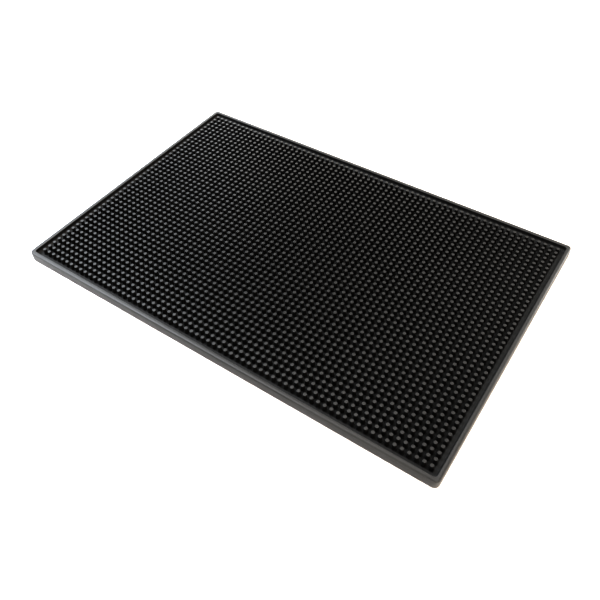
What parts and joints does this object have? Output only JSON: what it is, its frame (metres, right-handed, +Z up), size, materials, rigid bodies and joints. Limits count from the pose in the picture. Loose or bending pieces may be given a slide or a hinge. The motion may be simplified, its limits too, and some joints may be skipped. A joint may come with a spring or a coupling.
{
  "type": "bar mat",
  "caption": "Rectangular moulded rubber bar mat with a field of round studs inside a low raised rim that holds spilled liquid.",
  "frame": {"origin": "centre of the mat's outline on its underside, where it rests on the bar top", "axes": "+X along the long side, +Y along the short side away from the front, +Z up out of the studded face"},
  "size_m": [0.45, 0.3, 0.01],
  "materials": {
    "rubber": "satin black moulded rubber"
  },
  "bodies": {
    "root": {"base_sheet": "rubber", "rim_front": "rubber", "rim_back": "rubber", "rim_left": "rubber", "rim_right": "rubber", "stud_row_01": "rubber", "stud_row_02": "rubber", "stud_row_03": "rubber", "stud_row_04": "rubber", "stud_row_05": "rubber", "stud_row_06": "rubber", "stud_row_07": "rubber", "stud_row_08": "rubber", "stud_row_09": "rubber", "stud_row_10": "rubber", "stud_row_11": "rubber", "stud_row_12": "rubber", "stud_row_13": "rubber", "stud_row_14": "rubber", "stud_row_15": "rubber", "stud_row_16": "rubber", "stud_row_17": "rubber", "stud_row_18": "rubber", "stud_row_19": "rubber", "stud_row_20": "rubber", "stud_row_21": "rubber", "stud_row_22": "rubber", "stud_row_23": "rubber", "stud_row_24": "rubber", "stud_row_25": "rubber", "stud_row_26": "rubber", "stud_row_27": "rubber", "stud_row_28": "rubber", "stud_row_29": "rubber", "stud_row_30": "rubber", "stud_row_31": "rubber", "stud_row_32": "rubber", "stud_row_33": "rubber", "stud_row_34": "rubber", "stud_row_35": "rubber", "stud_row_36": "rubber", "stud_row_37": "rubber", "stud_row_38": "rubber", "stud_row_39": "rubber", "stud_row_40": "rubber", "stud_row_41": "rubber", "stud_row_42": "rubber", "stud_row_43": "rubber", "stud_row_44": "rubber", "stud_row_45": "rubber"}
  },
  "joints": []
}
